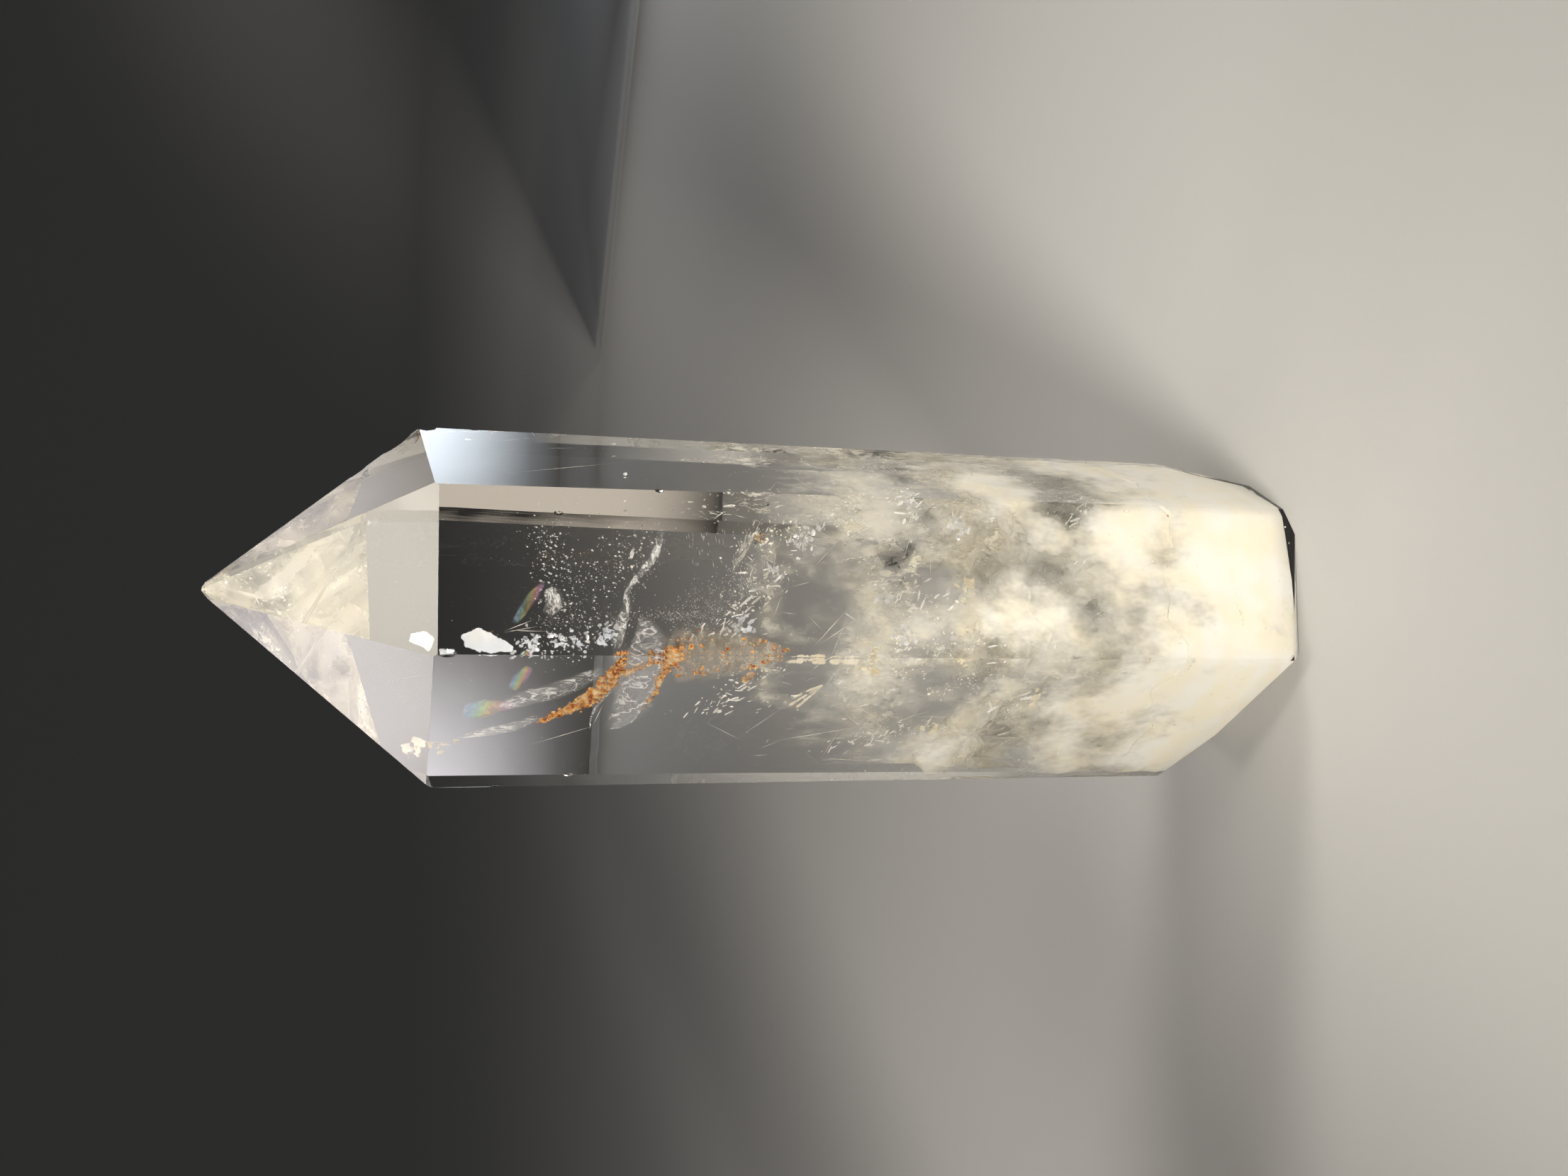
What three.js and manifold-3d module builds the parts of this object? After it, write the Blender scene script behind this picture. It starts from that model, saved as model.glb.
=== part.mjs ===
// A polished rock crystal point: one clear quartz prism with six faces, six facets that meet in a
// point, a flat foot with its corners cut away, and the small chips of a crystal that has been handled.
// Millimetres, +Z up. The foot stands on z = 0, and x = y = 0 is the middle of the bounding box.
import * as THREE from 'three';
import { ConvexGeometry } from 'three/addons/geometries/ConvexGeometry.js';
import { mergeVertices } from 'three/addons/utils/BufferGeometryUtils.js';
import Module from 'manifold-3d';

const wasm = await Module();
wasm.setup();

// Every flat face looks along a compass direction, facing, in degrees anticlockwise from +X, and tilts
// upwards by tilt degrees. The front of the crystal looks along -Y.

// The six prism faces. reach is how far the face stands from the crystal's axis, level with the foot.
const PRISM_FACES = {
  rightFront: { facing: -36.5, tilt: 0.5, reach: 11.36 },
  rightBack: { facing: 38.0, tilt: -1.3, reach: 8.82 },
  back: { facing: 90.0, tilt: -0.5, reach: 8.05 },
  leftBack: { facing: 147.9, tilt: 0.27, reach: 12.0 },
  leftFront: { facing: -144.6, tilt: 0.22, reach: 11.46 },
  front: { facing: -88.5, tilt: 0.14, reach: 10.67 },
};

// The six facets of the point. Each would cross the crystal's axis at its own summit, so they don't
// meet in one exact point: the front one runs up a little past its neighbours.
const POINT_FACETS = {
  rightFrontFacet: { facing: -37.1, tilt: 33.6, summit: 85.08 },
  rightBackFacet: { facing: 36.5, tilt: 33.7, summit: 84.52 },
  backFacet: { facing: 91.5, tilt: 29.5, summit: 83.91 },
  leftBackFacet: { facing: 146.5, tilt: 36.9, summit: 83.44 },
  leftFrontFacet: { facing: -146.0, tilt: 36.1, summit: 84.15 },
  frontFacet: { facing: -87.9, tilt: 34.05, summit: 84.17 },
};

// The very tip is worn blunt, by a small cut that looks up and a little to the front.
const TIP_CUT = { facing: -60, tilt: 72 };
const TIP = new THREE.Vector3(0.5, -0.05, 83.93);

// The foot's cuts look down. Each crosses the edge between two prism faces at its own height.
const FOOT_CUTS = {
  leftCut: { facing: 183, tilt: -38, edge: ['leftFront', 'leftBack'], height: 8.65 },
  leftFrontCut: { facing: 197, tilt: -38, edge: ['leftFront', 'front'], height: 1.9 },
  frontBevel: { facing: -98.7, tilt: -45, edge: ['leftFront', 'front'], height: 1.9 },
  frontRightCut: { facing: -45, tilt: -62, edge: ['front', 'rightFront'], height: 0.8 },
  rightCut: { facing: 12.5, tilt: -32, edge: ['rightFront', 'rightBack'], height: 6.5 },
  backRightCut: { facing: 62, tilt: -42, edge: ['rightBack', 'back'], height: 2.6 },
  backLeftCut: { facing: 118, tilt: -44, edge: ['back', 'leftBack'], height: 3.4 },
};

// Chips and nicks, each a shallow scoop out of the edge between two faces: its height on that edge,
// its length along the edge, its width across it, how deep it bites, and a turn about the edge.
const CHIPS = [
  { edge: ['rightFront', 'rightBack'], height: 68.5, length: 2.6, width: 3.2, depth: 0.42, turn: -24 },
  { edge: ['rightFrontFacet', 'rightBackFacet'], height: 70.6, length: 3.4, width: 1.5, depth: 0.3, turn: -12 },
  { edge: ['rightFrontFacet', 'rightBackFacet'], height: 73.4, length: 2.2, width: 0.9, depth: 0.16, turn: 8 },
  { edge: ['leftFront', 'front'], height: 68.1, length: 1.9, width: 1.4, depth: 0.24, turn: 10 },
  { edge: ['rightFront', 'rightBack'], height: 64.9, length: 0.9, width: 0.7, depth: 0.12, turn: 0 },
  { edge: ['leftFront', 'leftBack'], height: 63.6, length: 1.0, width: 0.7, depth: 0.12, turn: 0 },
  { edge: ['front', 'rightFront'], height: 53.2, length: 1.0, width: 0.8, depth: 0.14, turn: 0 },
  { edge: ['front', 'rightFront'], height: 48.1, length: 0.8, width: 0.7, depth: 0.12, turn: 15 },
  { edge: ['rightBack', 'back'], height: 33.5, length: 1.3, width: 0.9, depth: 0.16, turn: -10 },
  { edge: ['back', 'leftBack'], height: 57.2, length: 1.1, width: 0.8, depth: 0.14, turn: 12 },
  { edge: ['rightBack', 'back'], height: 68.4, length: 1.6, width: 1.3, depth: 0.22, turn: 6 },
  { edge: ['leftBackFacet', 'backFacet'], height: 76.2, length: 1.2, width: 0.8, depth: 0.13, turn: 0 },
];

const SCOOP_DETAIL = 1;
const SAME_POINT = 1e-6;

const radians = THREE.MathUtils.degToRad;

// The plane of a face that passes through a point, its normal pointing out of the crystal.
function planeThrough({ facing, tilt }, point) {
  const level = Math.cos(radians(tilt));
  const normal = new THREE.Vector3(
    level * Math.cos(radians(facing)),
    level * Math.sin(radians(facing)),
    Math.sin(radians(tilt)),
  );
  return new THREE.Plane().setFromNormalAndCoplanarPoint(normal, point);
}

// Where three planes meet, or null if two of them are parallel.
function meeting(a, b, c) {
  const across = new THREE.Vector3().crossVectors(b.normal, c.normal);
  const size = a.normal.dot(across);
  if (Math.abs(size) < SAME_POINT) {
    return null;
  }
  const point = across.multiplyScalar(-a.constant);
  point.addScaledVector(new THREE.Vector3().crossVectors(c.normal, a.normal), -b.constant);
  point.addScaledVector(new THREE.Vector3().crossVectors(a.normal, b.normal), -c.constant);
  return point.divideScalar(size);
}

// The point at one height on the edge between two faces.
function onEdge(planes, [first, second], height) {
  const level = new THREE.Plane(new THREE.Vector3(0, 0, 1), -height);
  return meeting(planes[first], planes[second], level);
}

// All the planes that bound the crystal, by name.
function crystalPlanes() {
  const planes = {};
  for (const [name, face] of Object.entries(PRISM_FACES)) {
    const foot = new THREE.Vector3(Math.cos(radians(face.facing)), Math.sin(radians(face.facing)), 0);
    planes[name] = planeThrough(face, foot.multiplyScalar(face.reach));
  }
  for (const [name, facet] of Object.entries(POINT_FACETS)) {
    planes[name] = planeThrough(facet, new THREE.Vector3(0, 0, facet.summit));
  }
  for (const [name, cut] of Object.entries(FOOT_CUTS)) {
    planes[name] = planeThrough(cut, onEdge(planes, cut.edge, cut.height));
  }
  planes.tip = planeThrough(TIP_CUT, TIP);
  planes.foot = new THREE.Plane(new THREE.Vector3(0, 0, -1), 0);
  return planes;
}

// The corners of the convex solid behind all the planes.
function cornersOf(planes) {
  const list = Object.values(planes);
  const corners = [];
  for (let i = 0; i < list.length; i++) {
    for (let j = i + 1; j < list.length; j++) {
      for (let k = j + 1; k < list.length; k++) {
        const corner = meeting(list[i], list[j], list[k]);
        const inside = corner && list.every((plane) => plane.distanceToPoint(corner) < SAME_POINT);
        if (inside && !corners.some((known) => known.distanceTo(corner) < SAME_POINT)) {
          corners.push(corner);
        }
      }
    }
  }
  return corners;
}

// A closed solid for cutting, from a geometry with loose triangles.
function solidOf(geometry) {
  geometry.deleteAttribute('normal');
  geometry.deleteAttribute('uv');
  const merged = mergeVertices(geometry);
  return new wasm.Manifold(new wasm.Mesh({
    numProp: 3,
    vertProperties: new Float32Array(merged.attributes.position.array),
    triVerts: new Uint32Array(merged.index.array),
  }));
}

// One chip's scoop: a faceted ellipsoid lying along the edge, of which only the lower part bites.
function scoopOf(planes, chip) {
  const [first, second] = chip.edge.map((name) => planes[name].normal);
  const out = new THREE.Vector3().addVectors(first, second).normalize();
  const along = new THREE.Vector3().crossVectors(first, second).normalize();
  out.applyAxisAngle(along, radians(chip.turn));
  const across = new THREE.Vector3().crossVectors(out, along);
  const thickness = chip.width / 2;
  const centre = onEdge(planes, chip.edge, chip.height).addScaledVector(out, thickness - chip.depth);
  const place = new THREE.Matrix4().makeBasis(along, across, out).setPosition(centre);
  const scoop = new THREE.IcosahedronGeometry(1, SCOOP_DETAIL);
  scoop.scale(chip.length / 2, chip.width / 2, thickness);
  return solidOf(scoop.applyMatrix4(place));
}

// The finished crystal, with its chips cut out and the middle of its box over the origin.
function crystalGeometry() {
  const planes = crystalPlanes();
  let crystal = solidOf(new ConvexGeometry(cornersOf(planes)));
  for (const chip of CHIPS) {
    crystal = crystal.subtract(scoopOf(planes, chip));
  }
  const mesh = crystal.getMesh();
  const geometry = new THREE.BufferGeometry();
  geometry.setAttribute('position', new THREE.BufferAttribute(mesh.vertProperties, mesh.numProp));
  geometry.setIndex(new THREE.BufferAttribute(mesh.triVerts, 1));
  geometry.computeBoundingBox();
  const middle = geometry.boundingBox.getCenter(new THREE.Vector3());
  geometry.translate(-middle.x, -middle.y, 0);
  geometry.computeVertexNormals();
  return geometry;
}

const clearQuartz = new THREE.MeshStandardMaterial({
  color: 0xf1eee6,
  roughness: 0.04,
  metalness: 0,
  transparent: true,
  opacity: 0.45,
  flatShading: true,
});

const crystalPoint = new THREE.Mesh(crystalGeometry(), clearQuartz);
crystalPoint.name = 'crystal_point';

const group = new THREE.Group();
group.add(crystalPoint);

export default group;
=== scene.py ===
"""Rock crystal point: the looks of one polished quartz crystal with its veils, cracks and milky foot.

Lengths in the settings are in metres. Shapes are worked out in millimetres, with the foot on z = 0, the
front face looking along -Y and x to the right, and are scaled once as they become meshes.
"""
import math

import bmesh
import bpy
import numpy as np
from mathutils import Matrix, Vector


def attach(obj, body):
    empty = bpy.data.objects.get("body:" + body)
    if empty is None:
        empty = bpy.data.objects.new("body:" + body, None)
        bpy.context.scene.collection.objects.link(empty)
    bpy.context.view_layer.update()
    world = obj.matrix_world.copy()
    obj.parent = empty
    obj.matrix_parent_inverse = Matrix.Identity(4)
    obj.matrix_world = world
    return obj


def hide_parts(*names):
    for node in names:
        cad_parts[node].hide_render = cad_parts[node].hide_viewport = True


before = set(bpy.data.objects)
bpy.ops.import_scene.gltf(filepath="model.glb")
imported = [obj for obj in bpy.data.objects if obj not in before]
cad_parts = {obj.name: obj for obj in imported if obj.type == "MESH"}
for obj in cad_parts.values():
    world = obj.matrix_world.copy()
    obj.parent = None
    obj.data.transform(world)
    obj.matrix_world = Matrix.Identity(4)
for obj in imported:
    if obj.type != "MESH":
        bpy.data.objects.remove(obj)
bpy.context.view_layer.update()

bl_info = {
    "name": "Rock crystal point",
    "version": (1, 0, 0),
    "blender": (4, 5, 0),
    "location": "View3D > Sidebar > Crystal",
    "description": "Makes a polished rock crystal with its inner veils and a plain studio round it",
    "category": "Object",
}

MM = 0.001
BODY = "root"
NODE = "crystal_point"

# The photograph's frame, and its camera: 35 mm lens on a 36 mm wide frame, held on its side.
PHOTO_WIDTH = 2212
FOCAL_PIXELS = 2150.0
SENSOR_WIDTH = 36.0
CAMERA_PLACE = Vector((-25.42, -110.40, 78.70)) * MM
CAMERA_AZIMUTH = math.radians(13.735)
CAMERA_PITCH = math.radians(18.306)
CAMERA_ROLL = math.radians(1.15)


def length(name, description, default):
    """A setting that is a length in metres."""
    return bpy.props.FloatProperty(name=name, description=description, default=default, unit="LENGTH")


def color(name, description, default):
    """A setting that is a colour."""
    return bpy.props.FloatVectorProperty(
        name=name, description=description, default=default, subtype="COLOR", size=3)


def amount(name, description, default):
    """A setting that is a plain number."""
    return bpy.props.FloatProperty(name=name, description=description, default=default)


def count(name, description, default):
    """A setting that is a whole number of things."""
    return bpy.props.IntProperty(name=name, description=description, default=default)


class QuartzSettings(bpy.types.PropertyGroup):
    """The clear quartz and its edges"""

    front_wear: length("Edge wear", "Width of the polished round on the long edges in front", 0.00011)
    quartz_ior: amount("Refractive index", "How strongly the quartz bends light", 1.544)
    tint: color("Body colour", "Colour that light keeps on its way through the quartz", (0.96, 0.93, 0.86))
    tint_density: amount("Body colour strength", "How fast the quartz takes its colour", 20.0)


class MilkSettings(bpy.types.PropertyGroup):
    """The milky cloud in the foot"""

    milk_height: length("Milk height", "Height at which the milky cloud has thinned out", 0.050)
    dense_height: length("Dense height", "Height up to which the milk is close to opaque", 0.013)
    milk_color: color("Milk", "Cream white of the cloud", (0.985, 0.93, 0.77))
    bright_color: color("Bright milk", "White of the tufts and small flakes", (0.99, 0.975, 0.91))
    veil_count: count("Veils", "Number of feathery veils in the cloud", 240)
    flake_count: count("Flakes", "Number of small white flakes in the cloud", 9000)
    sliver_count: count("Slivers", "Number of small bright slivers in the cloud", 4200)


class StainSettings(bpy.types.PropertyGroup):
    """The iron-stained crack"""

    rust: color("Rust", "Dark part of the iron stain", (0.24, 0.055, 0.01))
    amber: color("Amber", "Bright part of the iron stain", (0.62, 0.24, 0.035))
    ochre: color("Ochre", "Light part of the iron stain", (0.80, 0.52, 0.20))
    pale: color("Pale crust", "Palest part of the iron stain", (0.90, 0.82, 0.66))
    grain_count: count("Grains", "Number of crusty grains on the stained crack", 560)


class StudioSettings(bpy.types.PropertyGroup):
    """The floor and the lights"""

    floor_radius: length("Floor radius", "Flat part of the floor", 0.9)
    sweep_radius: length("Sweep radius", "Curve by which the floor rises at its rim", 0.5)
    wall_height: length("Wall height", "Wall above the sweep", 0.5)
    floor_color: color("Floor colour", "Pale matt floor", (0.42, 0.415, 0.405))
    sky_color: color("Sky colour", "Soft light from all round", (0.96, 0.98, 1.0))
    sky_strength: amount("Sky strength", "Strength of the light from all round", 0.08)
    top_power: amount("Top light", "Power of the softbox above, in watts", 0.016)
    left_power: amount("Left light", "Power of the low softbox on the left, in watts", 0.33)
    right_power: amount("Right light", "Power of the low softbox on the right, in watts", 0.17)
    window_glow: amount("Window glow", "Brightness of the cool card at the right and behind", 6.0)
    beige_glow: amount("Beige glow", "Brightness of the beige cards on the left", 0.55)
    lilac_glow: amount("Lilac glow", "Brightness of the lilac card at the right and behind", 0.8)
    facet_glow: amount("Facet glow", "Brightness of the cream cards above, which the facets mirror", 6.0)


def mesh_object(name, vertices, faces, **fields):
    """A mesh object at the origin from points in millimetres and its faces. Each field has one number for
    each point."""
    mesh = bpy.data.meshes.new(name)
    mesh.from_pydata((np.asarray(vertices) * MM).tolist(), [], [list(face) for face in faces])
    for field, values in fields.items():
        layer = mesh.attributes.new(field, "FLOAT", "POINT")
        layer.data.foreach_set("value", np.asarray(values, dtype=np.float32).ravel())
    mesh.update()
    obj = bpy.data.objects.new(name, mesh)
    bpy.context.scene.collection.objects.link(obj)
    return obj


def smooth_shaded(obj):
    """Shades all faces of a mesh object smooth."""
    obj.data.polygons.foreach_set("use_smooth", np.ones(len(obj.data.polygons), dtype=bool))


def quartz_piece(name, vertices, faces, material, smooth=False, **fields):
    """A piece inside the quartz, which moves with it."""
    obj = mesh_object(name, vertices, faces, **fields)
    obj.data.materials.append(material)
    if smooth:
        smooth_shaded(obj)
    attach(obj, BODY)
    return obj


def grid_faces(rows, columns, closed=False):
    """Quads of a grid of rows by columns points, joined round its columns if closed."""
    row = np.arange(rows - 1)[:, None] * columns
    last = columns if closed else columns - 1
    column = np.arange(last)[None, :]
    after = (column + 1) % columns
    quads = np.stack([row + column, row + after, row + columns + after, row + columns + column], -1)
    return quads.reshape(-1, 4)


def read_planes():
    """The planes that bound the crystal, as unit normals and distances from the origin in millimetres.

    A triangle of the CAD solid lies in one of them if no corner of the solid is beyond its plane, so the
    chips' scoops are left out. Small triangles are passed over, since rounding turns their planes.
    """
    small_area, tolerance = 0.5, 0.01
    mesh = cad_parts[NODE].data
    corners = np.empty(len(mesh.vertices) * 3, dtype=np.float32)
    mesh.vertices.foreach_get("co", corners)
    corners = corners.reshape(-1, 3).astype(float) / MM
    index = np.empty(len(mesh.loops), dtype=np.int32)
    mesh.loops.foreach_get("vertex_index", index)
    a, b, c = (corners[index[side::3]] for side in range(3))
    normals = np.cross(b - a, c - a)
    area = np.linalg.norm(normals, axis=1)
    large = area > small_area
    normals = normals[large] / area[large, None]
    offsets = np.einsum("ij,ij->i", normals, a[large])
    bounding = (corners @ normals.T < offsets + tolerance).all(axis=0)
    planes = np.round(np.column_stack([normals, offsets])[bounding], 2)
    kept = np.unique(planes, axis=0, return_index=True)[1]
    return normals[bounding][kept], offsets[bounding][kept]


PLANE_NORMALS, PLANE_OFFSETS = read_planes()


def room(points):
    """How far points are below the nearest face of the crystal."""
    return (PLANE_OFFSETS - points @ PLANE_NORMALS.T).min(axis=-1)


def press_inside(points, margin):
    """Moves points that are nearer than margin to a face straight in from it. In a corner each move can
    bring a point too near to another face, so it is done four times."""
    points = np.array(points, dtype=float)
    for _ in range(4):
        gaps = PLANE_OFFSETS - points @ PLANE_NORMALS.T
        nearest = gaps.argmin(axis=1)
        short = np.maximum(margin - gaps.min(axis=1), 0.0)
        points -= short[:, None] * PLANE_NORMALS[nearest]
    return points


def wall_distance(angle, height):
    """Distance from the z axis to the crystal's face in direction angle at one height, by arrays."""
    out = np.stack([np.cos(angle), np.sin(angle), np.zeros_like(angle)], -1)
    rate = out @ PLANE_NORMALS.T
    start = PLANE_OFFSETS - height[..., None] * PLANE_NORMALS[:, 2]
    reach = np.where(rate > 1e-6, start / np.maximum(rate, 1e-6), np.inf)
    return reach.min(axis=-1)


def smooth_path(points, stations):
    """Catmull-Rom curve through points, with its ends doubled, as evenly numbered stations."""
    points = np.asarray(points, dtype=float)
    ends = np.vstack([2 * points[0] - points[1], points, 2 * points[-1] - points[-2]])
    place = np.linspace(0, len(points) - 1 - 1e-9, stations)
    piece = place.astype(int)
    t = (place - piece)[:, None]
    a, b, c, d = (ends[piece + step] for step in range(4))
    bend, twist = 2 * a - 5 * b + 4 * c - d, 3 * b - a - 3 * c + d
    return 0.5 * (2 * b + (c - a) * t + bend * t ** 2 + twist * t ** 3)


def unit(vectors):
    """Vectors over their own lengths."""
    return vectors / np.maximum(np.linalg.norm(vectors, axis=-1, keepdims=True), 1e-12)


def turns_facing(normals, spin):
    """Turns that carry the third axis to each normal, after a spin about it."""
    normals = unit(np.asarray(normals, dtype=float))
    helper = np.where(np.abs(normals[:, 2:3]) > 0.9, [[1.0, 0.0, 0.0]], [[0.0, 0.0, 1.0]])
    first = unit(np.cross(helper, normals))
    second = np.cross(normals, first)
    cos, sin = np.cos(spin)[:, None], np.sin(spin)[:, None]
    return np.stack([cos * first + sin * second, cos * second - sin * first, normals], axis=-1)


def random_normals(rng, number):
    """Unit vectors that point anywhere with equal chance."""
    return unit(rng.normal(size=(number, 3)))


def flake_shape(sides):
    """A small flat lens: a ring of points with one tip above and one below."""
    turn = np.linspace(0, 2 * math.pi, sides, endpoint=False)
    ring = np.column_stack([np.cos(turn), np.sin(turn), np.zeros(sides)])
    vertices = np.vstack([ring, [[0.1, 0.0, 1.0], [-0.1, 0.0, -1.0]]])
    here = np.arange(sides)
    after = (here + 1) % sides
    upper = np.column_stack([here, after, np.full(sides, sides)])
    lower = np.column_stack([after, here, np.full(sides, sides + 1)])
    return vertices, np.vstack([upper, lower])


def scattered(shape, places, turns, sizes):
    """Many copies of one small shape, each stretched by its sizes, turned by its turn and moved to its
    place."""
    vertices, faces = shape
    points = np.einsum("nij,nkj->nki", turns, vertices[None] * sizes[:, None, :]) + places[:, None, :]
    first = np.arange(len(places))[:, None, None] * len(vertices)
    return points.reshape(-1, 3), (faces[None] + first).reshape(-1, faces.shape[1])


def veils(centres, turns, halves, bow, ripple, rng, side=11):
    """Curved sheets. With u and v from -1 to 1, each is a flat rectangle of half sizes halves, raised by a
    bow that grows with u and v squared and by a ripple of crossed sines. The feather field falls from 1 in
    its middle to 0 at its rim."""
    u, v = np.meshgrid(np.linspace(-1, 1, side), np.linspace(-1, 1, side), indexing="ij")
    number = len(centres)
    phase = rng.uniform(0, 2 * math.pi, size=(number, 4, 1, 1))
    pitch = rng.uniform(1.5, 4.5, size=(number, 2, 1, 1))
    size = halves.mean(axis=1)[:, None, None]
    waves = np.sin(pitch[:, 0] * u + phase[:, 0]) * np.cos(pitch[:, 1] * v + phase[:, 1])
    waves += 0.4 * np.sin(2.3 * pitch[:, 1] * u + phase[:, 2]) * np.cos(2.7 * pitch[:, 0] * v + phase[:, 3])
    rise = size * (bow[:, None, None] * (u ** 2 + 0.5 * v ** 2) + ripple * waves)
    flat = np.stack([u * halves[:, 0, None, None], v * halves[:, 1, None, None], rise], axis=-1)
    points = np.einsum("nij,nuvj->nuvi", turns, flat) + centres[:, None, None, :]
    feather = np.clip(1.35 * (1 - np.hypot(u, v)), 0, 1)
    faces = grid_faces(side, side)[None] + (np.arange(number) * side * side)[:, None, None]
    return points.reshape(-1, 3), faces.reshape(-1, 4), np.broadcast_to(feather, (number, side, side)).ravel()


def ribbon(points, half_widths, facing, stations, columns, bow, ripple, rng):
    """A strip carried along a smooth path. Across it, v from -1 to 1 runs at right angles to the path and
    to facing, and it is raised along facing by a bow that grows with v squared and by a ripple of sines."""
    path = smooth_path(points, stations)
    width = np.interp(np.linspace(0, 1, stations), np.linspace(0, 1, len(half_widths)), half_widths)
    along = unit(np.gradient(path, axis=0))
    across = unit(np.cross(along, np.asarray(facing, dtype=float)))
    up = np.cross(across, along)
    v = np.linspace(-1, 1, columns)
    s = np.linspace(0, 1, stations)[:, None]
    phase = rng.uniform(0, 2 * math.pi, 4)
    waves = np.sin(9 * s + 2.1 * v + phase[0]) + 0.6 * np.sin(23 * s - 3.0 * v + phase[1])
    waves += 0.35 * np.sin(47 * s + 5.0 * v + phase[2]) * np.cos(31 * s + phase[3])
    rise = bow * v ** 2 + ripple * waves
    points = path[:, None, :] + across[:, None, :] * (v * width[:, None])[..., None]
    points = points + up[:, None, :] * rise[..., None]
    feather = np.clip(2.2 * (1 - np.abs(v)), 0, 1) * np.clip(9 * np.minimum(s, 1 - s), 0, 1)
    return points.reshape(-1, 3), grid_faces(stations, columns), feather.ravel()


def joined(parts):
    """Several point and face arrays, with their fields, as one."""
    points, faces, fields = [], [], []
    first = 0
    for part_points, part_faces, part_field in parts:
        points.append(part_points)
        faces.append(part_faces + first)
        fields.append(part_field)
        first += len(part_points)
    return np.vstack(points), np.vstack(faces), np.concatenate(fields)


class Nodes:
    """Places shader nodes in a tree, and links or sets their inputs by name."""

    def __init__(self, tree):
        self.tree = tree
        tree.nodes.clear()

    def add(self, kind, inputs=None, **settings):
        """A node of one kind. inputs are links or values by socket, settings are the node's own values."""
        node = self.tree.nodes.new(kind)
        for key, value in settings.items():
            setattr(node, key, value)
        for socket, value in (inputs or {}).items():
            if isinstance(value, bpy.types.NodeSocket):
                self.tree.links.new(value, node.inputs[socket])
            else:
                node.inputs[socket].default_value = value
        return node

    def math(self, operation, first, second):
        """The outcome of one operation on two numbers."""
        return self.add("ShaderNodeMath", {0: first, 1: second}, operation=operation).outputs[0]

    def noise(self, vector, scale, detail=4.0, roughness=0.55):
        """Cloudy noise from 0 to 1, with scale waves in a metre."""
        inputs = {"Vector": vector, "Scale": scale, "Detail": detail, "Roughness": roughness}
        return self.add("ShaderNodeTexNoise", inputs).outputs["Fac"]

    def ramp(self, value, *stops):
        """Colours at positions from 0 to 1, blended between."""
        node = self.add("ShaderNodeValToRGB", {"Fac": value})
        band = node.color_ramp
        while len(band.elements) < len(stops):
            band.elements.new(0.5)
        for element, (place, shade) in zip(band.elements, stops):
            element.position = place
            element.color = (*shade, 1.0)
        return node.outputs["Color"]

    def place(self):
        """The place on the object, in metres."""
        return self.add("ShaderNodeTexCoord").outputs["Object"]

    def field(self, name):
        """A number that the mesh holds for each of its points."""
        return self.add("ShaderNodeAttribute", attribute_name=name).outputs["Fac"]

    def group(self, tree, **inputs):
        """The outputs of a group of nodes with these inputs."""
        return self.add("ShaderNodeGroup", inputs, node_tree=tree).outputs


def new_material(name):
    """A material with an empty node tree, and the tree's Nodes."""
    material = bpy.data.materials.new(name)
    material.use_nodes = True
    return material, Nodes(material.node_tree)


def end_material(material, n, inputs, volume=None):
    """The material, with a principled shader that has these inputs as its surface, and with volume, if it
    is given, inside it."""
    shader = n.add("ShaderNodeBsdfPrincipled", inputs)
    output = n.add("ShaderNodeOutputMaterial", {"Surface": shader.outputs["BSDF"]})
    if volume is not None:
        n.tree.links.new(volume, output.inputs["Volume"])
    return material


def mask_group(name, numbers, output):
    """A new group of nodes that makes a mask: its Nodes, its inputs and its vector, stretched and turned.
    numbers are the names and values of its other inputs."""
    tree = bpy.data.node_groups.new(name, "ShaderNodeTree")
    face = tree.interface
    face.new_socket("Vector", in_out="INPUT", socket_type="NodeSocketVector")
    for socket, value in numbers:
        face.new_socket(socket, in_out="INPUT", socket_type="NodeSocketFloat").default_value = value
    for socket, value in (("Stretch", (1, 1, 1)), ("Turn", (0, 0, 0))):
        face.new_socket(socket, in_out="INPUT", socket_type="NodeSocketVector").default_value = value
    face.new_socket(output, in_out="OUTPUT", socket_type="NodeSocketFloat")
    n = Nodes(tree)
    given = n.add("NodeGroupInput").outputs
    grain = n.add("ShaderNodeMapping", {
        "Vector": given["Vector"], "Rotation": given["Turn"], "Scale": given["Stretch"]}).outputs["Vector"]
    return n, given, grain


def dissolve_group():
    """Where a veil is there: noise above a threshold that rises as Amount falls from 1 to 0. The mask
    fades over Softness on both sides of the threshold."""
    numbers = (("Amount", 0.5), ("Scale", 800.0), ("Softness", 0.2))
    n, given, grain = mask_group("Dissolve", numbers, "Mask")
    noise = n.add("ShaderNodeTexNoise", {
        "Vector": grain, "Scale": given["Scale"], "Detail": 4.0, "Roughness": 0.66})
    # Noise stays near its middle, so it is spread to reach from 0 to 1.
    spread = n.add("ShaderNodeMapRange", {
        "Value": noise.outputs["Fac"], "From Min": 0.28, "From Max": 0.72}).outputs["Result"]
    threshold = n.math("SUBTRACT", 1.0, given["Amount"])
    low = n.math("SUBTRACT", threshold, given["Softness"])
    high = n.math("ADD", threshold, given["Softness"])
    mask = n.add("ShaderNodeMapRange", {"Value": spread, "From Min": low, "From Max": high},
                 interpolation_type="SMOOTHSTEP").outputs["Result"]
    n.add("NodeGroupOutput", {"Mask": mask})
    return n.tree


def dissolve():
    """The Dissolve group, made when it is first asked for."""
    return bpy.data.node_groups.get("Dissolve") or dissolve_group()


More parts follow.
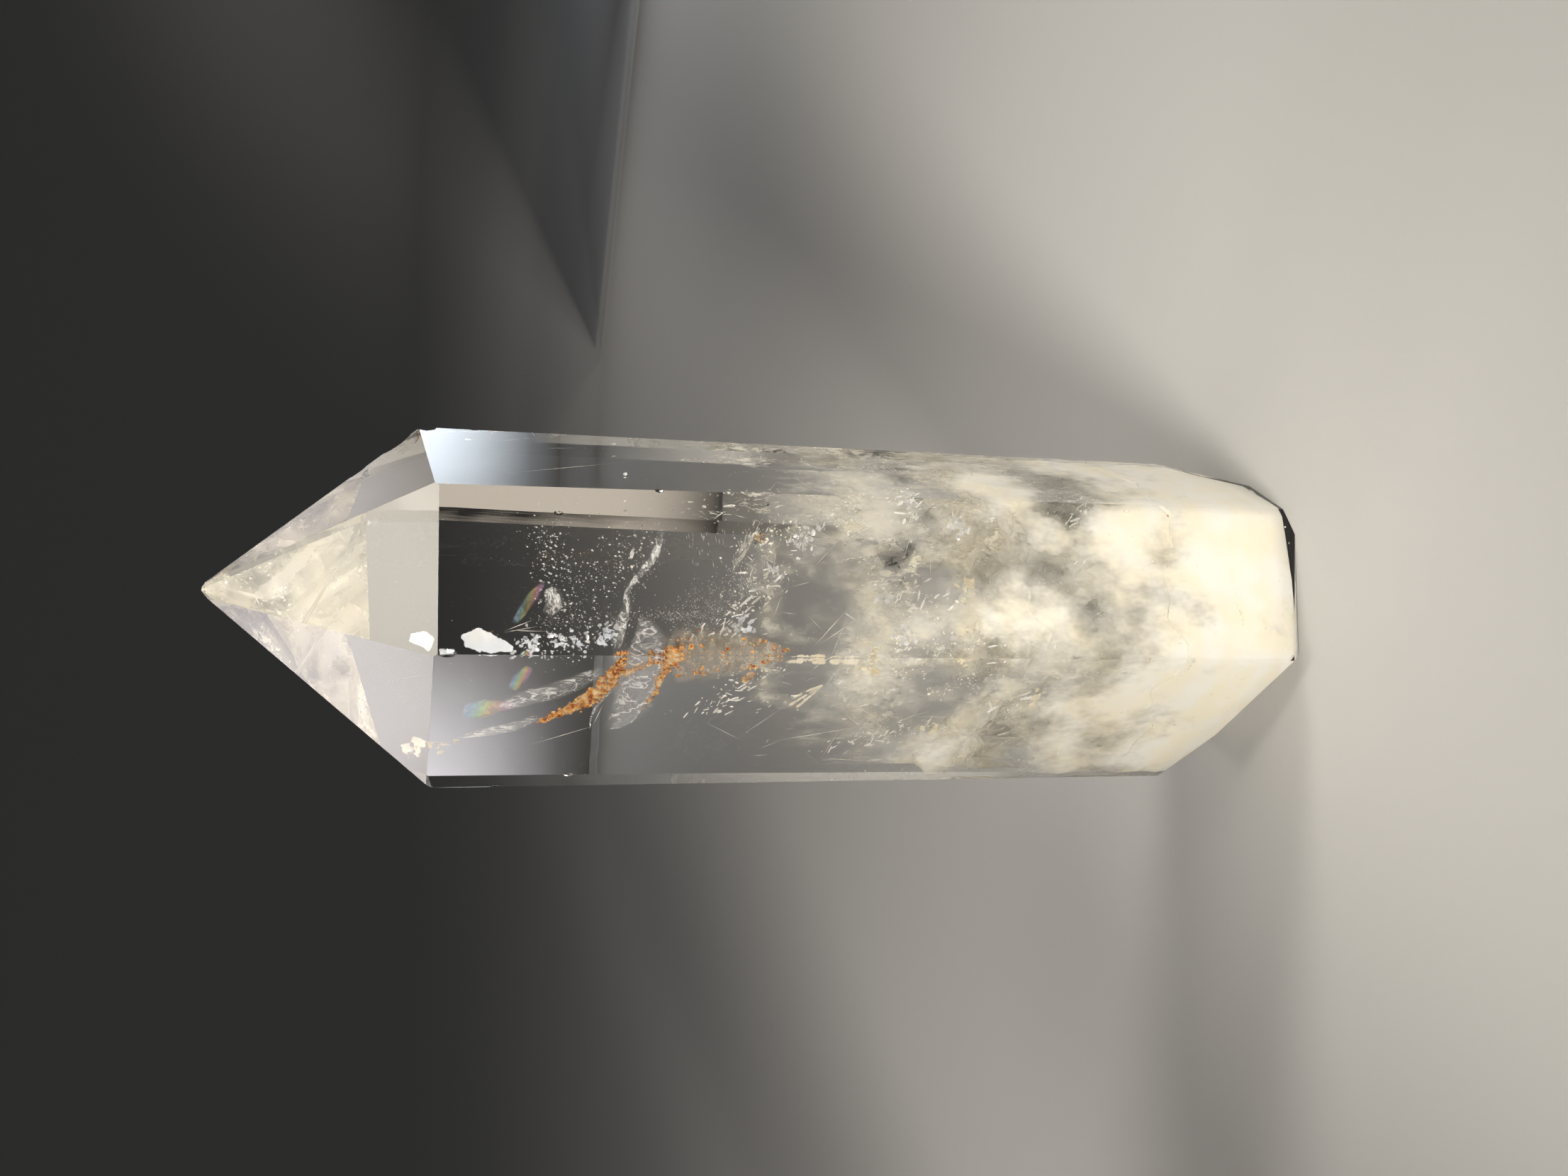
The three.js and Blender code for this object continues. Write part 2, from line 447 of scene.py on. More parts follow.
def quartz_glass(settings):
    """Clear polished quartz: plain transmission with a faint absorption, and fine polishing waves."""
    material, n = new_material("clear_quartz_glass")
    wave = n.noise(n.place(), 260.0, 1.0, 0.5)
    bump = n.add("ShaderNodeBump", {"Height": wave, "Strength": 0.02, "Distance": 0.0002})
    absorb = n.add("ShaderNodeVolumeAbsorption", {
        "Color": (*settings.tint, 1.0), "Density": settings.tint_density})
    glass = {"Base Color": (1.0, 1.0, 1.0, 1.0), "Roughness": 0.0, "IOR": settings.quartz_ior,
             "Transmission Weight": 1.0, "Normal": bump.outputs["Normal"]}
    return end_material(material, n, glass, absorb.outputs["Volume"])


def milk_material(settings, name, opacity, scale, softness, stretch, turn):
    """A cloudy sheet with soft-edged holes, whose shade wanders between cream and white."""
    material, n = new_material(name)
    place = n.place()
    mask = n.group(dissolve(), Vector=place, Amount=n.field("feather"), Scale=scale, Softness=softness,
                   Stretch=stretch, Turn=turn)["Mask"]
    alpha = n.math("MULTIPLY", mask, opacity)
    shade = n.ramp(n.noise(place, 350.0, 1.0), (0.35, settings.milk_color), (0.65, settings.bright_color))
    return end_material(material, n, {"Base Color": shade, "Roughness": 0.55, "Alpha": alpha})


def flake_material(name, low, high, roughness, metallic):
    """Small flakes whose shade wanders from place to place."""
    material, n = new_material(name)
    shade = n.ramp(n.noise(n.place(), 500.0, 5.0), (0.3, low), (0.7, high))
    return end_material(material, n, {"Base Color": shade, "Roughness": roughness, "Metallic": metallic})


class CRYSTAL_OT_body(bpy.types.Operator):
    """Makes the clear quartz body from the CAD solid, with its long edges rounded, less so behind"""

    bl_idname = "crystal.body"
    bl_label = "Quartz body"

    flat_angle = math.radians(0.5)
    long_edge = 1.2 * MM
    back_from = 4 * MM
    back_wear = 0.4

    def execute(self, context):
        settings = context.scene.quartz_settings
        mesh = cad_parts[NODE].data.copy()
        mesh.name = "quartz_body"
        work = bmesh.new()
        work.from_mesh(mesh)
        bmesh.ops.remove_doubles(work, verts=work.verts, dist=1e-7)
        flat = [edge for edge in work.edges
                if len(edge.link_faces) == 2 and edge.calc_face_angle(0) < self.flat_angle]
        bmesh.ops.dissolve_edges(work, edges=flat, use_verts=True)
        weight = work.edges.layers.float.new("bevel_weight_edge")
        for edge in work.edges:
            middle = (edge.verts[0].co + edge.verts[1].co) / 2
            wear = self.back_wear if middle.y > self.back_from else 1.0
            edge[weight] = wear if edge.calc_length() > self.long_edge else 0.0
        work.to_mesh(mesh)
        work.free()
        body = bpy.data.objects.new("quartz_body", mesh)
        context.scene.collection.objects.link(body)
        mesh.materials.clear()
        mesh.materials.append(quartz_glass(settings))
        bevel = body.modifiers.new("edge_wear", "BEVEL")
        bevel.width = settings.front_wear
        bevel.segments = 2
        bevel.limit_method = "WEIGHT"
        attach(body, BODY)
        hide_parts(NODE)
        return {"FINISHED"}


# Where the milk parts into clear pockets and thickens into bright tufts: a place, and how far it reaches.
CLEAR_POCKETS = [
    ((0.3, -4.5, 32.7), 4.5), ((3.2, -4.6, 29.8), 2.6), ((-4.0, -4.5, 24.1), 3.0), ((0.4, -4.5, 23.9), 3.2),
    ((1.9, -5.0, 16.6), 3.0), ((-3.0, -4.5, 43.2), 3.5), ((-10.0, 2.0, 24.5), 4.5), ((-9.6, 1.5, 42.0), 5.0),
    ((-6.8, -2.0, 35.8), 3.2), ((7.3, -4.0, 31.5), 3.5), ((6.6, -5.0, 20.0), 2.5), ((-8.0, -1.0, 12.0), 3.0),
]
BRIGHT_TUFTS = [
    ((4.0, -6.3, 41.8), 1.6), ((6.2, -6.5, 33.2), 2.0), ((4.8, -6.6, 29.5), 1.7), ((-3.9, -6.7, 34.3), 1.7),
    ((-3.5, -6.6, 15.5), 3.2), ((4.8, -6.0, 17.0), 3.4), ((-2.9, -6.8, 22.5), 1.5), ((-0.6, -6.6, 36.2), 1.8),
    ((-8.6, -1.3, 32.5), 2.6), ((-8.7, -1.3, 26.9), 1.8), ((-5.4, -7.3, 23.1), 1.2),
    ((-11.0, 2.0, 37.0), 1.6), ((-6.0, -4.6, 37.3), 1.7), ((-6.9, -3.9, 16.3), 2.6),
    ((7.8, -4.9, 27.0), 1.5), ((11.2, 0.0, 32.5), 1.6), ((11.0, -0.7, 16.3), 2.0), ((9.0, -3.3, 44.1), 1.3),
    ((5.5, -4.0, 38.0), 2.4),
]


def nearness(points, spots):
    """The sum over spots of a bell that is 1 at the spot's place and falls off with its reach."""
    total = np.zeros(points.shape[:-1])
    for place, reach in spots:
        total += np.exp(-((points - np.array(place)) ** 2).sum(axis=-1) / reach ** 2)
    return total


def lumps(points, size, seed):
    """A cloudy field about 0, mostly between -2 and 2: a sum of sine waves of one length, whose directions
    are random but lie mostly in the plane of x and z, so that its clear parts run through from the front."""
    rng = np.random.default_rng(seed)
    waves = unit(rng.normal(size=(12, 3)) * [1.0, 0.4, 0.9]) * (2 * math.pi / size)
    phase = rng.uniform(0, 2 * math.pi, 12)
    return np.sin(points @ waves.T + phase).sum(axis=-1) / math.sqrt(6)


def milkiness(points, settings):
    """How milky the quartz is at points: over 1 is opaque, 0 and less is clear. It falls with height. To
    that, coarse and fine lumps are added, which fade out in the dense foot, then 0.45 of the nearness to
    the clear pockets is taken off and 0.35 of that to the bright tufts is added. Along the cuts of the
    foot it is at least 1.15."""
    top, dense = settings.milk_height / MM, settings.dense_height / MM
    heights = [0.4 * dense, dense, 0.5 * top, 0.85 * top, top]
    z = points[..., 2]
    milk = np.interp(z, heights, [1.25, 0.78, 0.26, 0.1, -0.3])
    uneven = np.interp(z, [0.5 * dense, 1.5 * dense], [0.0, 1.0])
    milk = milk + uneven * (0.3 * lumps(points, 9.5, 3) + 0.1 * lumps(points, 4.1, 5))
    milk = milk - 0.45 * nearness(points, CLEAR_POCKETS) + 0.35 * nearness(points, BRIGHT_TUFTS)
    below = PLANE_NORMALS[:, 2] < -0.3
    gap = (PLANE_OFFSETS[below] - points @ PLANE_NORMALS[below].T).min(axis=-1)
    return np.maximum(milk, np.interp(gap, [2.4, 4.4], [1.15, 0.0]))


def milk_places(rng, number, settings, least_room, streaks=60):
    """Places in the milk, half of them drawn together in slanting streaks."""
    low = np.array([-14.0, -10.0, 0.3])
    high = np.array([14.0, 10.0, settings.milk_height / MM + 3.0])
    cores = rng.uniform(low, high, size=(streaks * 30, 3))
    cores = cores[(room(cores) > 1.0) & (rng.random(len(cores)) < milkiness(cores, settings) - 0.2)][:streaks]
    lean = unit(np.array([0.35, -0.1, -1.0]))
    loose = rng.uniform(low, high, size=(number * 12, 3))
    loose = loose[rng.random(len(loose)) < milkiness(loose, settings) - 0.25]
    chosen = cores[rng.integers(len(cores), size=number * 3)]
    drawn = chosen + rng.normal(scale=0.55, size=chosen.shape)
    drawn = drawn + lean * rng.normal(scale=1.7, size=(len(chosen), 1))
    mixed = np.vstack([loose[:number * 3], drawn])
    rng.shuffle(mixed)
    mixed = mixed[room(mixed) > least_room]
    return mixed[:number]


def milk_shell(margin, top, swell, rng, rows=48, around=110):
    """A lumpy closed shell that fills the foot. Up the wall its distance from the axis is that of the
    crystal's face, less margin and less a ripple. Over its top it runs in to the axis, and there its
    height is top plus swell times a sum of crossed sines."""
    angle = np.linspace(0, 2 * math.pi, around, endpoint=False)
    s = np.linspace(0, 1, rows)[1:-1, None]
    # The first eighth of the rows is the underside, the next half the wall and the rest the top.
    breaks = [0.0, 0.12, 0.6, 1.0]
    outward = np.interp(s, breaks, [0.0, 1.0, 1.0, 0.0])
    level = np.interp(s, breaks, [margin, margin, top * 0.86, top]).repeat(around, axis=1)
    reach = np.maximum(wall_distance(np.broadcast_to(angle, level.shape), level) - margin, 0.3)
    phase = rng.uniform(0, 2 * math.pi, 6)
    ripple = 0.5 * np.sin(5 * angle + 0.5 * level + phase[0]) * np.sin(0.7 * level + phase[1])
    radius = outward * np.maximum(reach - np.abs(ripple) * swell * 0.5, 0.2)
    x, y = radius * np.cos(angle), radius * np.sin(angle)
    waves = np.sin(0.8 * x + phase[2]) * np.cos(0.9 * y + phase[3])
    waves = waves + 0.5 * np.sin(2.1 * x - 1.3 * y + phase[4]) + 0.3 * np.cos(3.1 * y + 2.2 * x + phase[5])
    raised = np.clip((s - 0.5) / 0.3, 0, 1)
    z = level + swell * waves * raised
    rings = np.stack([x, y, z], -1).reshape(-1, 3)
    points = np.vstack([rings, [[0, 0, margin]], [[0, 0, top + swell * waves[-1].mean()]]])
    points = press_inside(points, margin)
    here = np.arange(around)
    after = (here + 1) % around
    last_row = (rows - 3) * around
    bottom, summit = np.full(around, len(points) - 2), np.full(around, len(points) - 1)
    under = np.column_stack([bottom, after, here])
    over = np.column_stack([summit, last_row + here, last_row + after])
    caps = np.stack([under, over], axis=1).reshape(-1, 3)
    return points, [*grid_faces(rows - 2, around, True).tolist(), *caps.tolist()]


def milk_layer(height, swell, rng, rings=22, around=96):
    """A level sheet across the crystal: polar points out to the wall, raised from height by swell times a
    sum of crossed sines."""
    angle = np.linspace(0, 2 * math.pi, around, endpoint=False)
    share = np.linspace(0.02, 1, rings)[:, None]
    reach = wall_distance(angle, np.full(around, height)) - 0.4
    radius = share * reach
    x, y = radius * np.cos(angle), radius * np.sin(angle)
    phase = rng.uniform(0, 2 * math.pi, 4)
    z = height + swell * (np.sin(0.5 * x + phase[0]) * np.cos(0.6 * y + phase[1])
                          + 0.4 * np.sin(1.7 * x + phase[2]) * np.cos(1.4 * y + phase[3]))
    points = np.stack([x, y, z], -1).reshape(-1, 3)
    return press_inside(points, 0.35), grid_faces(rings, around, True)


class CRYSTAL_OT_milk(bpy.types.Operator):
    """Makes the milky foot: lumpy shells, level layers, feathery veils, small flakes and bright slivers"""

    bl_idname = "crystal.milk"
    bl_label = "Milky foot"

    def execute(self, context):
        settings = context.scene.milk_settings
        rng = np.random.default_rng(11)
        self.shells(settings, rng)
        self.layers(settings, rng)
        self.veils(settings, rng)
        self.flakes(settings, rng)
        self.slivers(settings, rng)
        return {"FINISHED"}

    def shells(self, settings, rng):
        """Closed shells one inside the other, each as opaque as the milkiness there and fading at its top."""
        top = settings.milk_height / MM
        # How far each is inside the faces, how high it reaches and its opacity.
        nested = ((0.35, 0.7 * top, 0.92), (1.6, 0.95 * top, 0.55), (4.0, top, 0.7))
        for step, (margin, height, opacity) in enumerate(nested):
            points, faces = milk_shell(margin, height, 1.5, rng)
            feather = milkiness(points, settings) - np.interp(points[:, 2] / height, [0.8, 1.0], [0.0, 1.2])
            name = "milk_shell_%d" % (step + 1)
            material = milk_material(settings, name + "_cloud", opacity, 260.0 + 90.0 * step, 0.6,
                                     (1, 1, 0.6), (0.2, 0.4, 0.7 * step))
            quartz_piece(name, points, faces, material, True, feather=feather)

    def layers(self, settings, rng):
        """Level sheets that close the cloud to a view from above, by their height and opacity."""
        sheets = ((12.0, 0.95), (25.0, 0.8))
        for step, (height, opacity) in enumerate(sheets):
            points, faces = milk_layer(height, 1.6, rng)
            name = "milk_layer_%d" % (step + 1)
            material = milk_material(settings, name + "_cloud", opacity, 220.0, 0.45, (1, 1, 1), (0, 0, step))
            quartz_piece(name, points, faces, material, True, feather=0.1 + 0.9 * milkiness(points, settings))

    def veils(self, settings, rng):
        """Small curved sheets of cloud, most of which face to the right and up."""
        centres = milk_places(rng, settings.veil_count, settings, 1.2)
        number = len(centres)
        normals = random_normals(rng, number) + [[0.9, -0.2, 0.5]]
        halves = rng.uniform(1.2, 4.6, size=(number, 1)) * rng.uniform(0.6, 1.4, size=(number, 2))
        turns = turns_facing(normals, rng.uniform(0, 2 * math.pi, number))
        bow = rng.uniform(-0.35, 0.35, number)
        points, faces, feather = veils(centres, turns, halves, bow, 0.09, rng)
        milk = milkiness(points, settings)
        feather = feather * np.clip(0.22 + 0.6 * milk, 0, 1) * np.clip(5 * milk, 0, 1)
        feather = feather * np.clip(room(points) / 0.8, 0, 1)
        material = milk_material(settings, "milk_veil_cloud", 0.7, 1900.0, 0.16, (1, 1, 0.45),
                                 (0.15, 0.45, 0))
        quartz_piece("milk_veils", press_inside(points, 0.2), faces, material, True, feather=feather)

    def flakes(self, settings, rng):
        """White flakes that lie anyhow. Most are near the smallest size."""
        places = milk_places(rng, settings.flake_count, settings, 0.35)
        number = len(places)
        turns = turns_facing(random_normals(rng, number), rng.uniform(0, 2 * math.pi, number))
        size = 0.035 + 0.11 * rng.random((number, 1)) ** 2
        sizes = size * np.column_stack([rng.uniform(0.8, 1.7, number), rng.uniform(0.6, 1.1, number),
                                        np.full(number, 0.3)])
        points, faces = scattered(flake_shape(4), places, turns, sizes)
        material = flake_material("milk_flake_white", settings.milk_color, settings.bright_color, 0.5, 0.0)
        quartz_piece("milk_flakes", points, faces, material)

    def slivers(self, settings, rng):
        """Long bright flakes that face the front and lie aslant."""
        places = milk_places(rng, settings.sliver_count, settings, 0.4)
        number = len(places)
        normals = random_normals(rng, number) * 0.7 + [[-0.1, -0.9, 0.3]]
        turns = turns_facing(normals, rng.normal(-1.1, 0.5, number))
        size = 0.05 + 0.22 * rng.random((number, 1)) ** 3
        sizes = size * np.column_stack([rng.uniform(1.0, 3.2, number), rng.uniform(0.3, 0.7, number),
                                        np.full(number, 0.12)])
        points, faces = scattered(flake_shape(5), places, turns, sizes)
        material = flake_material("sliver_white", (0.99, 0.98, 0.95), (1.0, 1.0, 1.0), 0.35, 0.25)
        quartz_piece("milk_sparks", points, faces, material)


def sheet_material(name, low, high, opacity, scale, softness, roughness=0.45, metallic=0.0):
    """One thin sheet in the quartz: two shades that wander, and ragged holes towards its rim."""
    material, n = new_material(name)
    place = n.place()
    mask = n.group(dissolve(), Vector=place, Amount=n.field("feather"), Scale=scale,
                   Softness=softness)["Mask"]
    alpha = n.math("MULTIPLY", mask, opacity)
    shade = n.ramp(n.noise(place, 0.6 * scale, 5.0), (0.35, low), (0.65, high))
    return end_material(material, n, {
        "Base Color": shade, "Roughness": roughness, "Metallic": metallic, "Alpha": alpha})


def wrinkle_group():
    """Fine lines like the creases of a film: noise, bright only where it passes through its middle, and
    dark where it is further than Width from it."""
    n, given, grain = mask_group("Wrinkles", (("Scale", 500.0), ("Width", 0.03)), "Lines")
    noise = n.add("ShaderNodeTexNoise", {
        "Vector": grain, "Scale": given["Scale"], "Detail": 3.0, "Roughness": 0.6, "Distortion": 0.6})
    away = n.add("ShaderNodeMath", {0: n.math("SUBTRACT", noise.outputs["Fac"], 0.5)}, operation="ABSOLUTE")
    lines = n.add("ShaderNodeMapRange", {
        "Value": away.outputs[0], "From Min": 0.0, "From Max": given["Width"], "To Min": 1.0, "To Max": 0.0},
        interpolation_type="SMOOTHSTEP").outputs["Result"]
    n.add("NodeGroupOutput", {"Lines": lines})
    return n.tree


def wrinkles():
    """The Wrinkles group, made when it is first asked for."""
    return bpy.data.node_groups.get("Wrinkles") or wrinkle_group()


def creased_material(name, haze, crease, scale, width, stretch=(1, 1, 1), turn=(0, 0, 0)):
    """A nearly clear film with bright creases. Its opacity is its feather times the sum of haze, crease
    times the coarse lines and 0.4 times crease times the fine ones."""
    material, n = new_material(name)
    place = n.place()
    lines = n.group(wrinkles(), Vector=place, Scale=scale, Width=width, Stretch=stretch, Turn=turn)["Lines"]
    fine = n.group(wrinkles(), Vector=place, Scale=2.7 * scale, Width=width, Stretch=stretch,
                   Turn=turn)["Lines"]
    both = n.math("ADD", n.math("MULTIPLY", lines, crease), n.math("MULTIPLY", fine, 0.4 * crease))
    alpha = n.math("MULTIPLY", n.math("ADD", both, haze), n.field("feather"))
    shade = n.ramp(n.noise(place, 900.0), (0.35, (0.80, 0.80, 0.79)), (0.65, (0.99, 0.98, 0.96)))
    return end_material(material, n, {
        "Base Color": shade, "Roughness": 0.35, "Metallic": 0.2, "Alpha": alpha})


PATH_STATIONS = 200


def along_path(rng, number, path, spread):
    """Places strewn about a smooth path, with a normal spread in millimetres."""
    line = smooth_path(path, PATH_STATIONS)
    return line[rng.integers(len(line), size=number)] + rng.normal(scale=spread, size=(number, 3))


def small_pieces(rng, places, smallest, largest, flatness, sides, facing=None, long=1.6):
    """Flat lenses at places. Their normals point anywhere, or about facing. Most are near the smallest
    size."""
    places = places[room(places) > 1.1 * largest]
    number = len(places)
    normals = random_normals(rng, number)
    if facing is not None:
        normals = 0.6 * normals + np.asarray(facing)
    turns = turns_facing(normals, rng.uniform(0, 2 * math.pi, number))
    size = smallest + (largest - smallest) * rng.random((number, 1)) ** 2.5
    stretch = np.column_stack([rng.uniform(0.8, long, number), rng.uniform(0.6, 1.0, number),
                               np.full(number, flatness)])
    return scattered(flake_shape(sides), places, turns, size * stretch)


# Directions from inside the quartz back to the viewer, as bent by the front face, by the left-front face
# and between the two, at the edge where they meet.
BY_FRONT = (-0.14, -0.97, 0.20)
BY_LEFT = (-0.48, -0.85, 0.21)
BY_EDGE = (-0.33, -0.92, 0.20)

# Strips in the quartz: the points of each one's middle line, its half widths along it, and where it faces.
STRIPS = {
    "upper_stain": ([(-8.4, -2.0, 61.2), (-7.8, -2.9, 59.4), (-7.1, -4.0, 57.9), (-6.4, -5.4, 56.9),
                     (-5.8, -7.1, 56.3), (-5.4, -8.7, 56.0)], (0.08, 0.42, 0.85, 0.85, 0.6, 0.15), BY_LEFT),
    "stain_branch": ([(-6.1, -6.7, 56.0), (-5.8, -7.7, 54.8), (-5.5, -8.5, 53.5)], (0.45, 0.3, 0.4), BY_EDGE),
    "rim_stain": ([(-7.8, -3.2, 53.8), (-7.0, -4.9, 53.2), (-6.2, -6.9, 53.0), (-5.6, -8.5, 52.7),
                   (-5.3, -9.0, 51.4)], (0.15, 0.3, 0.4, 0.75, 0.4), BY_EDGE),
    "lower_film": ([(-6.0, -7.9, 53.0), (-5.5, -8.5, 51.2), (-5.4, -8.7, 49.5), (-5.4, -8.8, 47.4),
                    (-5.4, -8.8, 45.8), (-5.4, -9.0, 44.1)], (1.9, 2.1, 2.0, 1.6, 1.1, 0.3), BY_EDGE),
    "wrinkled_veil": ([(-8.8, -1.5, 55.8), (-7.4, -3.7, 54.7), (-6.3, -6.2, 54.5), (-5.4, -8.2, 54.4),
                       (-4.2, -8.2, 54.4), (-2.7, -7.6, 54.7)], (0.6, 1.7, 1.7, 1.7, 1.4, 0.4), BY_EDGE),
    "upper_rim": ([(-8.8, -1.4, 57.2), (-8.0, -2.7, 57.3), (-7.2, -4.1, 56.8), (-6.6, -5.2, 56.0)],
                  (0.05, 0.1, 0.12, 0.05), BY_LEFT),
    "lower_rim": ([(-8.8, -1.4, 56.0), (-8.7, -1.7, 55.0), (-8.3, -2.4, 54.2), (-7.6, -3.5, 53.8),
                   (-6.9, -5.0, 53.5)], (0.05, 0.14, 0.16, 0.12, 0.05), BY_LEFT),
    "cross_crack": ([(-5.4, -7.6, 56.2), (-3.4, -6.6, 55.9), (-2.1, -6.6, 55.4), (-0.8, -6.5, 55.3),
                     (0.5, -6.5, 54.3), (2.1, -6.5, 53.1), (3.8, -6.5, 52.7)],
                    (0.5, 0.55, 0.4, 0.3, 0.3, 0.35, 0.15), (-0.1, -0.75, 0.65)),
    "left_wisp": ([(-9.5, -1.2, 66.8), (-9.0, -1.4, 64.7), (-8.6, -1.8, 62.6), (-8.0, -2.6, 61.0)],
                  (0.15, 0.4, 0.5, 0.3), BY_LEFT),
    "right_wisp": ([(-7.6, -3.2, 64.2), (-7.1, -4.1, 62.4), (-6.7, -4.8, 60.4), (-6.2, -5.8, 58.6),
                    (-5.7, -7.2, 57.1)], (0.3, 0.75, 0.8, 0.75, 0.35), BY_LEFT),
    # The flash strips, the silver sheet and the blue patch are cracks whose reflected light is painted in
    # white and pale blue.
    "flash": ([(-4.8, -9.1, 67.4), (-4.7, -9.1, 66.1), (-5.0, -9.1, 65.0), (-5.4, -9.1, 63.4)],
              (0.5, 1.1, 0.85, 0.15), BY_FRONT),
    "shoulder_flash": ([(-4.3, -7.9, 70.4), (-4.6, -8.4, 69.6), (-5.1, -9.0, 68.8)], (0.3, 0.7, 0.6),
                       (-0.1, -0.75, 0.65)),
    "edge_flash": ([(-5.5, -9.2, 68.7), (-5.5, -9.2, 67.5)], (0.25, 0.2), BY_FRONT),
    "silver_sheet": ([(-5.1, -8.8, 63.4), (-4.9, -8.8, 61.8), (-4.8, -8.6, 59.9), (-4.3, -8.1, 57.6),
                      (-3.4, -7.4, 56.2)], (0.5, 0.9, 1.0, 1.0, 0.6), (-0.2, -0.85, 0.45)),
    "blue_patch": ([(-3.8, -8.1, 49.0), (-3.6, -8.1, 47.3), (-3.0, -8.1, 46.2)], (0.3, 0.6, 0.4),
                   (-0.2, -0.85, 0.45)),
    "fan_crack": ([(-2.6, -6.6, 61.2), (-1.6, -6.5, 60.6), (-0.6, -6.5, 60.9)], (0.3, 0.75, 0.5), BY_FRONT),
    "rainbow_arc": ([(-3.3, -6.6, 63.5), (-2.4, -6.6, 62.8), (-1.3, -6.5, 62.1), (-0.2, -6.5, 61.2)],
                    (0.2, 0.45, 0.5, 0.15), BY_FRONT),
    "rainbow_left": ([(-7.7, -2.4, 66.6), (-7.3, -2.8, 64.8), (-7.1, -3.1, 62.6)], (0.7, 1.0, 0.3), BY_LEFT),
    "rainbow_middle": ([(-6.3, -4.4, 63.2), (-5.6, -5.3, 62.7), (-5.0, -6.1, 62.2)], (0.4, 0.6, 0.4),
                       BY_LEFT),
    "shoulder_cream": ([(-10.7, 0.8, 69.9), (-10.3, -0.4, 68.9), (-10.2, -1.0, 67.5), (-9.7, -1.4, 66.2)],
                       (0.9, 1.1, 0.7, 0.3), BY_LEFT),
    "orange_spot": ([(2.9, -7.0, 45.5), (3.7, -7.0, 45.4)], (0.55, 0.5), BY_FRONT),
    "left_orange": ([(-6.2, -5.3, 46.7), (-5.5, -6.3, 46.2)], (0.5, 0.5), BY_LEFT),
    "beige_wedge": ([(-5.9, -8.8, 44.9), (-5.8, -8.9, 43.2), (-5.8, -9.0, 41.0), (-5.8, -9.0, 37.5)],
                    (0.05, 0.35, 0.45, 0.5), BY_LEFT),
}

# Middle lines of the streams of fine specks and droplets, and where the needles of the star meet.
FINE_COLUMN = [(-3.2, -6.6, 61.7), (-3.0, -6.6, 59.2), (-2.6, -6.6, 55.9), (-2.5, -6.6, 52.9),
               (-2.7, -6.6, 50.7)]
DROPLET_BAND = [(-2.4, -6.6, 60.9), (0.2, -6.5, 60.6), (2.3, -6.4, 60.7), (3.8, -6.4, 61.3)]
DROPLET_FALL = [(-2.4, -6.6, 59.2), (-0.6, -6.5, 58.3), (1.6, -6.5, 55.7), (2.9, -6.5, 53.5)]
DUST_STREAM = [(-3.0, -6.6, 51.6), (-2.0, -6.6, 49.4), (0.0, -6.6, 46.6), (1.4, -6.5, 45.4)]
STAR = (3.3, -7.0, 42.2)


def strip(name, rng, bow, ripple, stations=60, columns=15):
    """One of the strips of the table as points, faces and feather, kept inside the quartz."""
    points, halves, facing = STRIPS[name]
    points, faces, feather = ribbon(points, halves, facing, stations, columns, bow, ripple, rng)
    return press_inside(points, 0.25), faces, feather


def film_piece(name, strips, material, share=1.0):
    """One smooth piece inside the quartz from several strips, with their feather times share."""
    points, faces, feather = joined(strips)
    quartz_piece(name, points, faces, material, True, feather=feather * share)


